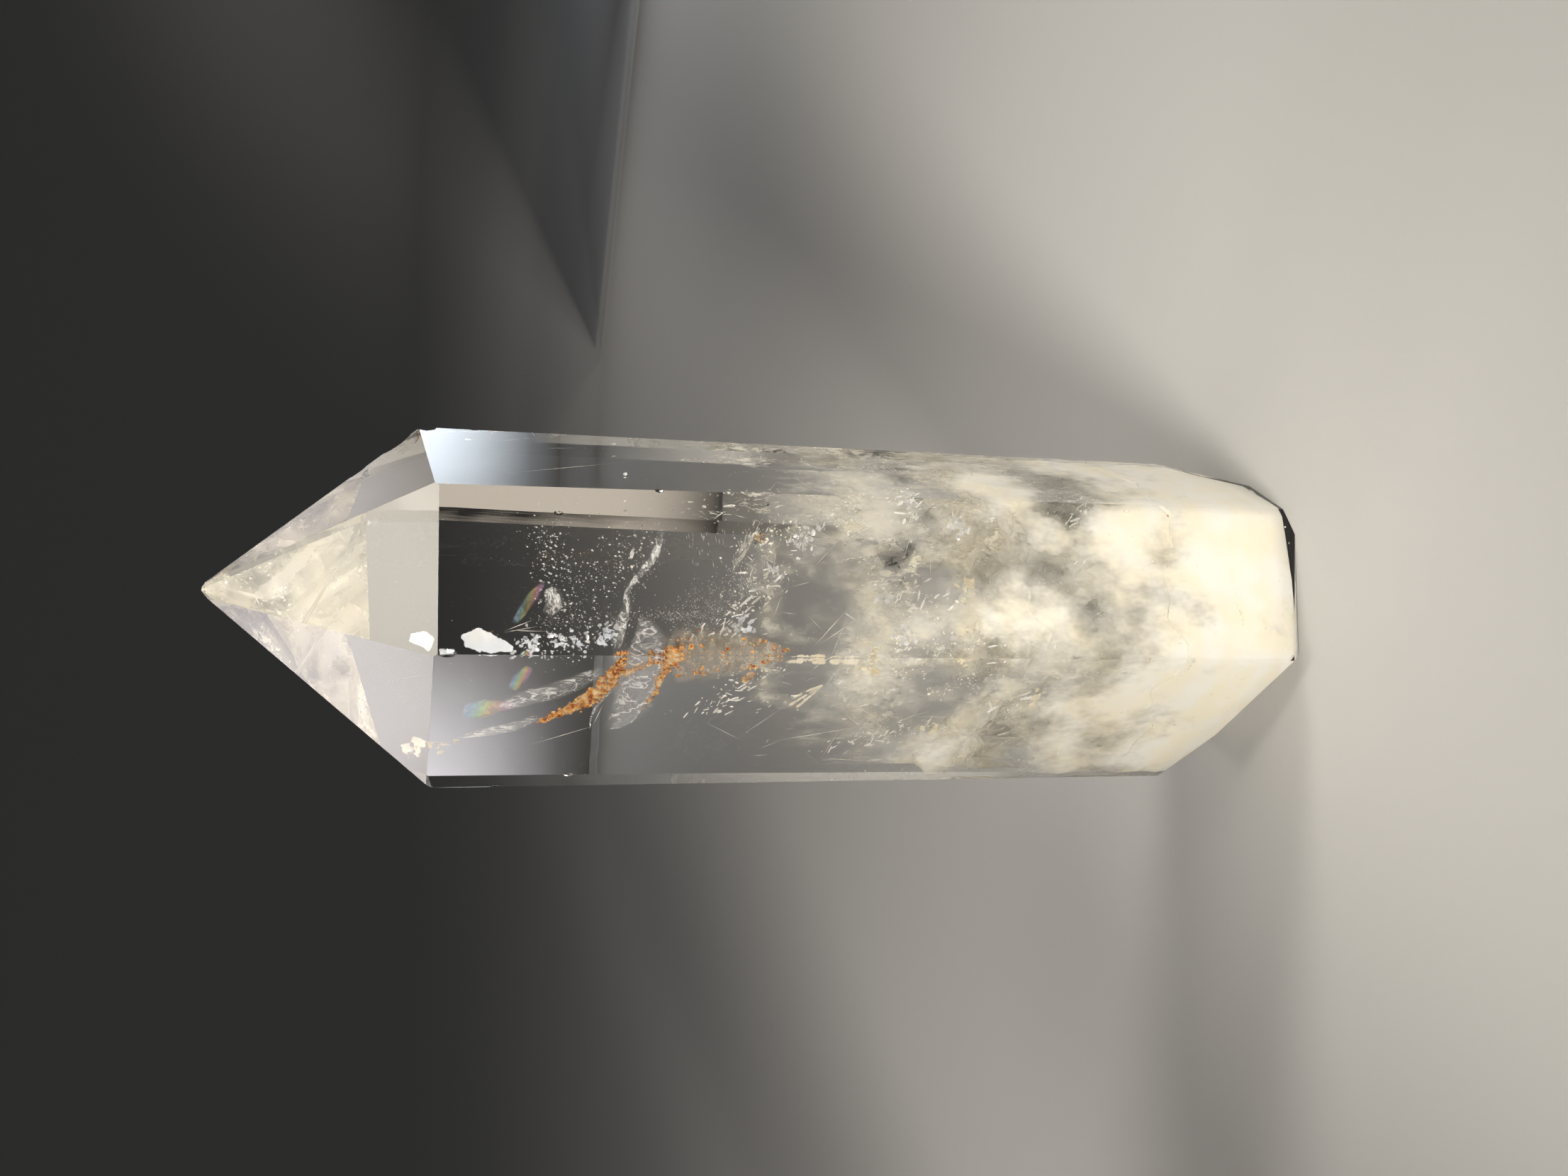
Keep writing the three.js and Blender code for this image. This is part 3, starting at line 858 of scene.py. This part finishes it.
class CRYSTAL_OT_iron(bpy.types.Operator):
    """Makes the iron-stained crack: thin stained films, and the crusty grains that lie on them"""

    bl_idname = "crystal.iron"
    bl_label = "Iron-stained crack"

    def execute(self, context):
        settings = context.scene.stain_settings
        rng = np.random.default_rng(23)
        stained = [strip(name, rng, -0.3, 0.06) for name in ("upper_stain", "stain_branch", "rim_stain")]
        spots = [strip(name, rng, -0.1, 0.03, 20, 9) for name in ("orange_spot", "left_orange")]
        points, faces, feather = joined([*stained, *spots])
        ends = np.cumsum([0, *(len(part[0]) for part in stained), sum(len(part[0]) for part in spots)])
        strength = np.repeat([0.85, 0.6, 0.8, 0.5], np.diff(ends))
        quartz_piece("iron_stain", points, faces, self.stain(settings), True, feather=feather * strength)

        film_piece("iron_film", [strip("lower_film", rng, -0.7, 0.06, 90, 21)], self.film())
        self.grains(settings, rng)
        return {"FINISHED"}

    def stain(self, settings):
        """The crusty stain: four browns by a fine noise, with a rough relief and holes towards its rim."""
        material, n = new_material("iron_stain_rust")
        place = n.place()
        mask = n.group(dissolve(), Vector=place, Amount=n.field("feather"), Scale=1500.0,
                       Softness=0.25)["Mask"]
        shade = n.ramp(n.noise(place, 1700.0, 6.0, 0.65), (0.36, settings.rust), (0.46, settings.amber),
                       (0.54, settings.ochre), (0.64, settings.pale))
        bump = n.add("ShaderNodeBump", {
            "Height": n.noise(place, 2600.0, 4.0), "Strength": 0.8, "Distance": 0.0002})
        return end_material(material, n, {
            "Base Color": shade, "Roughness": 0.5, "Normal": bump.outputs["Normal"],
            "Alpha": n.math("MULTIPLY", mask, 0.8)})

    def film(self):
        """The greyish brown film under the stain: nearly even, with a fine crackle."""
        material, n = new_material("iron_film_brown")
        place = n.place()
        lines = n.group(wrinkles(), Vector=place, Scale=1600.0, Width=0.03)["Lines"]
        alpha = n.math("MULTIPLY", n.math("ADD", n.math("MULTIPLY", lines, 0.3), 0.42), n.field("feather"))
        shade = n.ramp(n.noise(place, 1500.0, 5.0), (0.36, (0.26, 0.20, 0.13)), (0.5, (0.50, 0.43, 0.32)),
                       (0.66, (0.74, 0.66, 0.52)))
        return end_material(material, n, {"Base Color": shade, "Roughness": 0.5, "Alpha": alpha})

    def grains(self, settings, rng):
        """Rust-brown grains on four of the strips."""
        # Each strip's share of the grains, and the share of its width that they cover.
        shares = (("upper_stain", 0.5, 0.85), ("rim_stain", 0.2, 0.8), ("stain_branch", 0.06, 0.7),
                  ("lower_film", 0.24, 0.8))
        places = [self.on_strip(rng, int(settings.grain_count * share), name, spread)
                  for name, share, spread in shares]
        points, faces = small_pieces(rng, press_inside(np.vstack(places), 0.36), 0.05, 0.25, 0.7, 5, long=1.3)
        material, n = new_material("iron_grain_rust")
        place = n.place()
        shade = n.ramp(n.noise(place, 2400.0, 3.0), (0.38, settings.rust), (0.46, settings.amber),
                       (0.53, settings.ochre), (0.62, settings.rust))
        end_material(material, n, {"Base Color": shade, "Roughness": 0.42})
        quartz_piece("iron_grains", points, faces, material)

    def on_strip(self, rng, number, name, share):
        """Places on a strip: anywhere along its middle line but at its very ends, and across it within a
        share of its half width."""
        path, halves, facing = STRIPS[name]
        line = smooth_path(path, PATH_STATIONS)
        across = unit(np.cross(unit(np.gradient(line, axis=0)), np.asarray(facing)))
        half = np.interp(np.linspace(0, 1, PATH_STATIONS), np.linspace(0, 1, len(halves)), halves)
        pick = rng.integers(4, PATH_STATIONS - 4, size=number)
        side = rng.uniform(-share, share, number) * half[pick]
        return line[pick] + across[pick] * side[:, None] + rng.normal(scale=0.07, size=(number, 3))


class CRYSTAL_OT_cracks(bpy.types.Operator):
    """Makes the clear cracks: the wrinkled veil, the crack that runs across, the wisps and the flashes. The
    flashes and the silver sheet are real cracks, and the light they reflect is painted on as white and pale
    blue colour
    """

    bl_idname = "crystal.cracks"
    bl_label = "Veils and cracks"

    def execute(self, context):
        rng = np.random.default_rng(37)
        veil = [strip("wrinkled_veil", rng, -0.5, 0.12, 90, 33)]
        film_piece("wrinkled_veil", veil, creased_material(
            "wrinkled_veil_film", 0.16, 0.7, 620.0, 0.05, (1.5, 1, 0.6), (0, 0.5, 0)))

        cracks = [strip("cross_crack", rng, 0.2, 0.1, 90, 13), strip("fan_crack", rng, -0.3, 0.05),
                  strip("upper_rim", rng, 0.0, 0.04), strip("lower_rim", rng, 0.0, 0.04)]
        film_piece("cross_crack", cracks, creased_material(
            "cross_crack_film", 0.15, 0.9, 1000.0, 0.055, (0.5, 1, 1)))

        wisps = [strip(name, rng, 0.3, 0.08) for name in ("left_wisp", "right_wisp")]
        film_piece("white_wisps", wisps, creased_material(
            "white_wisp_film", 0.12, 0.6, 900.0, 0.06, (1.6, 1.6, 0.25), (0.0, 0.35, 0)))

        # Painted reflection: the flashes, the silver sheet and its blue patch are real cracks, but the light
        # they reflect is laid on as near-opaque white and pale blue colour.
        white, blue = (1.0, 1.0, 1.0), (0.80, 0.87, 0.97)
        flashes = [strip(name, rng, 0.1, 0.03) for name in ("flash", "shoulder_flash", "edge_flash")]
        film_piece("flashes", flashes, sheet_material(
            "flash_painted_reflection", blue, white, 0.97, 700.0, 0.05, 0.35), 0.9)

        sheets = [strip("silver_sheet", rng, 0.2, 0.1), strip("blue_patch", rng, 0.1, 0.05)]
        film_piece("silver_sheet", sheets, sheet_material(
            "silver_sheet_painted_reflection", blue, white, 0.95, 1500.0, 0.04, 0.3, 0.2), 0.45)
        return {"FINISHED"}


class CRYSTAL_OT_rainbows(bpy.types.Operator):
    """Makes the thin films that shine in the colours of the rainbow, with those colours of reflected light
    painted on as base colour in slanting bands
    """

    bl_idname = "crystal.rainbows"
    bl_label = "Rainbow films"

    def execute(self, context):
        rng = np.random.default_rng(41)
        parts, bands = [], []
        for name in ("rainbow_arc", "rainbow_left", "rainbow_middle"):
            part = strip(name, rng, 0.2, 0.03, 40, 13)
            height = part[0][:, 2] + 0.35 * part[0][:, 0]
            bands.append((height - height.min()) / np.ptp(height))
            parts.append(part)
        points, faces, feather = joined(parts)
        material, n = new_material("rainbow_film")
        # Painted reflection: the rainbow colours that thin films show only in reflected light are laid on as
        # colour, in slanting bands up each strip.
        shade = n.ramp(n.field("band"), (0.05, (0.60, 0.55, 0.85)), (0.25, (0.85, 0.35, 0.60)),
                       (0.45, (0.95, 0.70, 0.25)), (0.6, (0.55, 0.85, 0.45)), (0.78, (0.35, 0.60, 0.90)),
                       (0.95, (0.70, 0.60, 0.90)))
        mask = n.group(dissolve(), Vector=n.place(), Amount=n.field("feather"), Scale=500.0,
                       Softness=0.5)["Mask"]
        end_material(material, n, {
            "Base Color": shade, "Roughness": 0.4, "Metallic": 0.2, "Alpha": n.math("MULTIPLY", mask, 0.4)})
        quartz_piece("rainbow_films", points, faces, material, True, feather=feather * 0.8,
                     band=np.concatenate(bands))
        return {"FINISHED"}


class CRYSTAL_OT_specks(bpy.types.Operator):
    """Makes the silver flecks, droplets, dust, needles, cream scales and flakes, and brown specks"""

    bl_idname = "crystal.specks"
    bl_label = "Flecks, droplets and needles"

    def execute(self, context):
        rng = np.random.default_rng(53)
        self.silver(rng)
        self.droplets(rng)
        self.dust(rng)
        self.needles(rng)
        self.cream(rng)
        self.brown(rng)
        return {"FINISHED"}

    def silver(self, rng):
        """Bright flecks that face up to the front: a column of them, and clusters by place and number."""
        column = along_path(rng, 160, STRIPS["silver_sheet"][0], 0.45)
        spots = [(STAR, 90), ((1.0, -5.7, 44.2), 30), ((-3.4, -7.6, 47.4), 50), ((6.3, -6.4, 33.0), 70),
                 ((4.7, -6.6, 29.4), 70), ((-3.8, -6.7, 34.3), 60), ((-0.6, -6.6, 36.0), 40)]
        clusters = [np.array(place) + rng.normal(scale=0.45, size=(number, 3)) for place, number in spots]
        places = press_inside(np.vstack([column, *clusters]), 0.35)
        points, faces = small_pieces(rng, places, 0.04, 0.26, 0.1, 5, facing=(-0.05, -0.7, 0.7))
        material = flake_material("silver_fleck", (0.86, 0.88, 0.90), (1.0, 1.0, 1.0), 0.25, 0.4)
        quartz_piece("silver_flecks", points, faces, material)

    def droplets(self, rng):
        """Tiny round droplets, drawn out a little upwards."""
        places = np.vstack([along_path(rng, 330, DROPLET_BAND, 0.8), along_path(rng, 330, DROPLET_FALL, 1.0)])
        places = places[room(places) > 0.5]
        number = len(places)
        lean = random_normals(rng, number) * 0.35 + [[0.25, 0.0, 1.0]]
        turns = turns_facing(lean, rng.uniform(0, 2 * math.pi, number))
        size = 0.022 + 0.075 * rng.random((number, 1)) ** 3
        sizes = size * np.column_stack([np.ones(number), np.ones(number), rng.uniform(1.0, 1.8, number)])
        points, faces = scattered(flake_shape(6), places, turns, sizes)
        material = flake_material("droplet_grey", (0.60, 0.60, 0.59), (0.95, 0.94, 0.92), 0.2, 0.2)
        quartz_piece("droplets", points, faces, material, True)

    def dust(self, rng):
        """The finest specks, along streams and thinly everywhere."""
        anywhere = rng.uniform((-13, -9, 8), (13, 9, 80), size=(700, 3))
        places = np.vstack([
            along_path(rng, 600, FINE_COLUMN, 0.3),
            along_path(rng, 1500, DUST_STREAM, 0.9),
            along_path(rng, 500, DROPLET_FALL, 1.2),
            along_path(rng, 300, STRIPS["cross_crack"][0], 0.3),
            anywhere])
        points, faces = small_pieces(rng, places, 0.015, 0.05, 0.8, 4, long=1.1)
        material = flake_material("dust_white", (0.75, 0.74, 0.72), (1.0, 0.99, 0.96), 0.4, 0.0)
        quartz_piece("dust", points, faces, material)

    def needles(self, rng):
        """Straight hairs: six-sided spindles that taper to both ends. Some are placed one by one, some
        radiate from the star, some lie loose in the milk and some are short level dashes."""
        hairs = np.array([
            ((-9.6, 0.4, 61.7), (-8.3, -1.5, 56.4)), ((-8.7, -1.6, 57.1), (-7.3, -3.5, 56.6)),
            ((7.2, -5.7, 64.0), (9.6, -2.8, 53.6)), ((-4.0, -7.4, 64.3), (-3.4, -6.8, 61.6)),
            ((-3.9, -7.4, 64.2), (-2.9, -6.8, 61.9)), ((-3.8, -7.4, 64.0), (-3.8, -6.8, 60.9)),
            ((-5.0, -6.5, 42.0), (-1.7, -5.8, 38.6)), ((-4.8, -6.3, 41.6), (-2.5, -5.8, 38.0)),
            ((-9.2, 1.0, 43.5), (-8.4, -0.6, 36.5)), ((11.0, -0.9, 60.0), (11.2, -0.5, 57.5)),
        ])
        star_rays, loose_hairs, short_dashes = 30, 90, 34
        rays = unit(random_normals(rng, star_rays) * [[1.0, 0.4, 1.0]])
        rays = rays * rng.uniform(0.4, 1.3, (star_rays, 1))
        loose = rng.uniform((-11, -8, 18), (11, 8, 46), size=(loose_hairs, 3))
        lean = unit(random_normals(rng, loose_hairs) + [[0.4, 0.0, -0.8]])
        lean = lean * rng.uniform(1.5, 5.0, (loose_hairs, 1))
        dashes = rng.uniform((1.0, -6.8, 46.5), (3.8, -6.0, 50.8), size=(short_dashes, 3))
        dash = np.array([[0.55, 0.0, 0.06]]) * rng.uniform(0.4, 1.2, (short_dashes, 1))
        start = np.vstack([hairs[:, 0], np.tile(STAR, (star_rays, 1)), loose, dashes])
        finish = np.vstack([hairs[:, 1], rays + STAR, loose + lean, dashes + dash])
        fine = np.repeat([0.026, 0.03, 0.018, 0.015], [len(hairs), star_rays, loose_hairs, short_dashes])
        inside = (room(start) > 0.25) & (room(finish) > 0.25)
        start, finish, fine = start[inside], finish[inside], fine[inside]
        half = np.linalg.norm(finish - start, axis=1) / 2
        turns = turns_facing(finish - start, np.zeros(len(start)))
        sizes = np.column_stack([fine, fine, half])
        points, faces = scattered(flake_shape(6), (start + finish) / 2, turns, sizes)
        material = flake_material("needle_pale", (0.80, 0.76, 0.68), (1.0, 0.98, 0.93), 0.3, 0.0)
        quartz_piece("needles", points, faces, material, True)

    def cream(self, rng):
        """Cream patches that are broken into crisp scales, and a small fan of them on the left."""
        apex = np.array((-6.2, -5.3, 40.4))
        tips = np.array([(-7.9, -2.9, 42.3), (-7.6, -3.3, 42.8), (-7.2, -3.9, 42.9), (-6.9, -4.4, 42.2)])
        fan = [ribbon([apex, (apex + tip) / 2, tip], (0.05, 0.14, 0.2), BY_LEFT, 24, 5, 0.0, 0.01, rng)
               for tip in tips]
        patches = [strip("shoulder_cream", rng, 0.2, 0.05), strip("beige_wedge", rng, 0.0, 0.01, 40, 7)]
        film_piece("cream_scales", [*patches, *fan], sheet_material(
            "cream_scale", (0.80, 0.70, 0.50), (0.93, 0.87, 0.72), 0.8, 1200.0, 0.05), 0.58)

        spots = ((-8.9, -0.8, 30.2, 14), (-7.0, -3.6, 22.4, 16), (-5.6, -7.6, 37.0, 20))
        clusters = [np.array(spot[:3]) + rng.normal(scale=0.4, size=(spot[3], 3)) for spot in spots]
        rim = along_path(rng, 120, [(-3.5, -4.9, 29.6), (-1.9, -4.8, 28.0), (1.0, -4.8, 28.9)], 0.3)
        points, faces = small_pieces(rng, np.vstack([*clusters, rim]), 0.08, 0.34, 0.12, 5, facing=BY_LEFT)
        material = flake_material("cream_flake", (0.78, 0.66, 0.42), (0.93, 0.86, 0.68), 0.45, 0.0)
        quartz_piece("cream_flakes", points, faces, material)

    def brown(self, rng):
        """Brown specks behind the front face, two orange clusters and a few grains in the flash."""
        specks = rng.uniform((-6, -8.9, 3), (7, -6.5, 14), size=(420, 3))
        orange = [np.array(spot) + rng.normal(scale=0.25, size=(16, 3)) for spot in
                  ((3.3, -7.0, 45.4), (-5.8, -5.8, 46.4))]
        flash_grain = np.array([(-4.1, -8.7, 65.1)]) + rng.normal(scale=0.12, size=(9, 3))
        points, faces = small_pieces(rng, np.vstack([specks, *orange, flash_grain]), 0.03, 0.14, 0.6, 4)
        material = flake_material("brown_speck", (0.36, 0.22, 0.08), (0.75, 0.50, 0.22), 0.5, 0.0)
        quartz_piece("brown_specks", points, faces, material)


class CRYSTAL_OT_studio(bpy.types.Operator):
    """Makes the floor with its round sweep, the soft lights and the camera"""

    bl_idname = "crystal.studio"
    bl_label = "Studio"

    def execute(self, context):
        settings = context.scene.studio_settings
        self.floor(settings)
        self.lights(context, settings)
        self.camera(context)
        context.scene.view_settings.view_transform = "Standard"
        cycles = context.scene.cycles
        cycles.max_bounces = 12
        cycles.diffuse_bounces = 3
        cycles.transmission_bounces = 12
        cycles.transparent_max_bounces = 16
        return {"FINISHED"}

    def floor(self, settings):
        """A flat disc that rises round its rim: a profile turned about the vertical axis."""
        around = 96
        bend = np.linspace(math.pi / 2, 0, 13)
        rim = settings.floor_radius + settings.sweep_radius * np.sin(bend)
        lift = settings.sweep_radius * (1 - np.cos(bend))
        radius = np.concatenate([[rim[0]], rim, [0.2, 0.001]])
        height = np.concatenate([[lift[0] + settings.wall_height], lift, [0.0, 0.0]])
        turn = np.linspace(0, 2 * math.pi, around, endpoint=False)
        points = np.stack([radius[:, None] * np.cos(turn), radius[:, None] * np.sin(turn),
                           np.repeat(height[:, None], around, axis=1)], -1)
        faces = [list(face) for face in grid_faces(radius.size, around, True)]
        faces.append([(radius.size - 1) * around + step for step in range(around)])
        floor = mesh_object("floor", points.reshape(-1, 3) / MM, faces)
        smooth_shaded(floor)
        material, n = new_material("pale_floor")
        end_material(material, n, {"Base Color": (*settings.floor_color, 1.0), "Roughness": 0.85})
        floor.data.materials.append(material)

    def lights(self, context, settings):
        """A faint sky, three softboxes, and the cards that the crystal's faces and facets mirror."""
        world = bpy.data.worlds.new("studio")
        context.scene.world = world
        world.use_nodes = True
        back = world.node_tree.nodes["Background"]
        back.inputs["Color"].default_value = (*settings.sky_color, 1.0)
        back.inputs["Strength"].default_value = settings.sky_strength
        warm, cool, beige = (1.0, 0.95, 0.87), (0.84, 0.92, 1.0), (1.0, 0.89, 0.76)
        middle = (0, 0, 0.025)
        self.softbox(context, "top_softbox", (-0.02, -0.02, 0.40), (0, 0, 0), 0.12, settings.top_power, warm)
        self.softbox(context, "left_softbox", (-0.31, -0.33, 0.10), middle, 0.16, settings.left_power, warm)
        self.softbox(context, "right_softbox", (0.43, -0.12, 0.10), middle, 0.16, settings.right_power, warm)

        cream, rose, lilac = (1.0, 0.93, 0.80), (1.0, 0.93, 0.93), (0.97, 0.94, 1.0)
        beiges, facets = settings.beige_glow, settings.facet_glow
        # Each card: its compass direction, height and distance, its half sizes, how hard its rim is, its
        # brightness and its shade.
        cards = (
            ("window_card", (34.6, 0.056, 0.30), (0.046, 0.046), 2, settings.window_glow, cool),
            ("beige_card_1", (194.0, 0.042, 0.19), (0.022, 0.042), 6, beiges, beige),
            ("beige_card_2", (216.0, 0.042, 0.19), (0.020, 0.042), 6, beiges, beige),
            ("lilac_card", (52.0, 0.050, 0.28), (0.06, 0.048), 2, settings.lilac_glow, lilac),
            ("front_facet_card", (-55.0, 0.335, 0.15), (0.05, 0.05), 4, 1.6 * facets, cream),
            ("left_facet_card", (143.0, 0.268, 0.23), (0.05, 0.05), 4, 1.1 * facets, rose),
            ("right_facet_card", (43.0, 0.175, 0.285), (0.04, 0.04), 2, 0.3 * facets, rose),
        )
        for card in cards:
            self.glow_card(*card)

    def softbox(self, context, name, place, target, size, power, shade):
        """A square soft light at place that looks at target, with a grid that keeps its light in a narrow
        beam."""
        beam = math.radians(30)
        data = bpy.data.lights.new(name, "AREA")
        data.spread = beam
        data.shape = "SQUARE"
        data.size = size
        data.energy = power
        data.color = shade
        lamp = bpy.data.objects.new(name, data)
        lamp.location = place
        lamp.rotation_mode = "QUATERNION"
        lamp.rotation_quaternion = (Vector(target) - Vector(place)).to_track_quat("-Z", "Y")
        context.scene.collection.objects.link(lamp)

    def glow_card(self, name, place, halves, hardness, strength, shade):
        """A card that glows towards the crystal. place is its compass direction in degrees, its height and
        its distance from the z axis. It is a plane with across and up from -1 to 1, and its glow is 1 less
        across to the power hardness, squared, times the same of up. It faces the z axis at its own height,
        or at highest_aim if it is higher, so a low card is upright and a high one leans over."""
        side, highest_aim = 13, 0.075
        compass, height, distance = place
        across, up = np.meshgrid(np.linspace(-1, 1, side), np.linspace(-1, 1, side), indexing="ij")
        east, north = math.cos(math.radians(compass)), math.sin(math.radians(compass))
        centre = np.array([distance * east, distance * north, height])
        level = np.array([north, -east, 0.0])
        rise = unit(np.cross(level, centre - [0.0, 0.0, min(height, highest_aim)]))
        points = centre + across[..., None] * halves[0] * level + up[..., None] * halves[1] * rise
        glow = (1 - np.abs(across) ** hardness) ** 2 * (1 - np.abs(up) ** hardness) ** 2
        card = mesh_object(name, points.reshape(-1, 3) / MM, grid_faces(side, side), glow=glow)
        material, n = new_material(name + "_glow")
        end_material(material, n, {
            "Base Color": (0.0, 0.0, 0.0, 1.0), "Emission Color": (*shade, 1.0),
            "Emission Strength": n.math("MULTIPLY", n.field("glow"), strength)})
        card.data.materials.append(material)
        card.visible_camera = False

    def camera(self, context):
        """The photograph's camera, by its place, azimuth, downward pitch and roll."""
        data = bpy.data.cameras.new("camera")
        data.sensor_fit = "HORIZONTAL"
        data.sensor_width = SENSOR_WIDTH
        data.lens = FOCAL_PIXELS * SENSOR_WIDTH / PHOTO_WIDTH
        data.clip_start = 0.005
        data.clip_end = 20.0
        east, north = math.sin(CAMERA_AZIMUTH), math.cos(CAMERA_AZIMUTH)
        level = math.cos(CAMERA_PITCH)
        ahead = Vector((east * level, north * level, -math.sin(CAMERA_PITCH)))
        right = Vector((north, -east, 0.0))
        down = ahead.cross(right)
        # The frame is on its side: its own right is the view's down, and its own up is the view's right.
        across = math.sin(CAMERA_ROLL) * right + math.cos(CAMERA_ROLL) * down
        up = math.cos(CAMERA_ROLL) * right - math.sin(CAMERA_ROLL) * down
        matrix = Matrix((across, up, -ahead)).transposed().to_4x4()
        matrix.translation = CAMERA_PLACE
        camera = bpy.data.objects.new("camera", data)
        camera.matrix_world = matrix
        context.scene.collection.objects.link(camera)
        context.scene.camera = camera


class CRYSTAL_PT_panel(bpy.types.Panel):
    """Lists the crystal's pieces in the sidebar"""

    bl_idname = "CRYSTAL_PT_panel"
    bl_label = "Rock crystal point"
    bl_space_type = "VIEW_3D"
    bl_region_type = "UI"
    bl_category = "Crystal"

    def draw(self, context):
        for operator in OPERATORS:
            self.layout.operator(operator.bl_idname)


OPERATORS = (CRYSTAL_OT_studio, CRYSTAL_OT_body, CRYSTAL_OT_milk, CRYSTAL_OT_iron, CRYSTAL_OT_cracks,
             CRYSTAL_OT_rainbows, CRYSTAL_OT_specks)
SETTINGS = (QuartzSettings, MilkSettings, StainSettings, StudioSettings)
CLASSES = (*SETTINGS, *OPERATORS, CRYSTAL_PT_panel)


def register():
    """Registers the classes and hangs the settings on the scene."""
    for kind in CLASSES:
        bpy.utils.register_class(kind)
    bpy.types.Scene.quartz_settings = bpy.props.PointerProperty(type=QuartzSettings)
    bpy.types.Scene.milk_settings = bpy.props.PointerProperty(type=MilkSettings)
    bpy.types.Scene.stain_settings = bpy.props.PointerProperty(type=StainSettings)
    bpy.types.Scene.studio_settings = bpy.props.PointerProperty(type=StudioSettings)


def unregister():
    """Takes back what register does."""
    del bpy.types.Scene.studio_settings
    del bpy.types.Scene.stain_settings
    del bpy.types.Scene.milk_settings
    del bpy.types.Scene.quartz_settings
    for kind in reversed(CLASSES):
        bpy.utils.unregister_class(kind)


def main():
    """Makes the whole scene."""
    register()
    bpy.ops.crystal.studio()
    bpy.ops.crystal.body()
    bpy.ops.crystal.milk()
    bpy.ops.crystal.iron()
    bpy.ops.crystal.cracks()
    bpy.ops.crystal.rainbows()
    bpy.ops.crystal.specks()


if __name__ == "__main__":
    main()
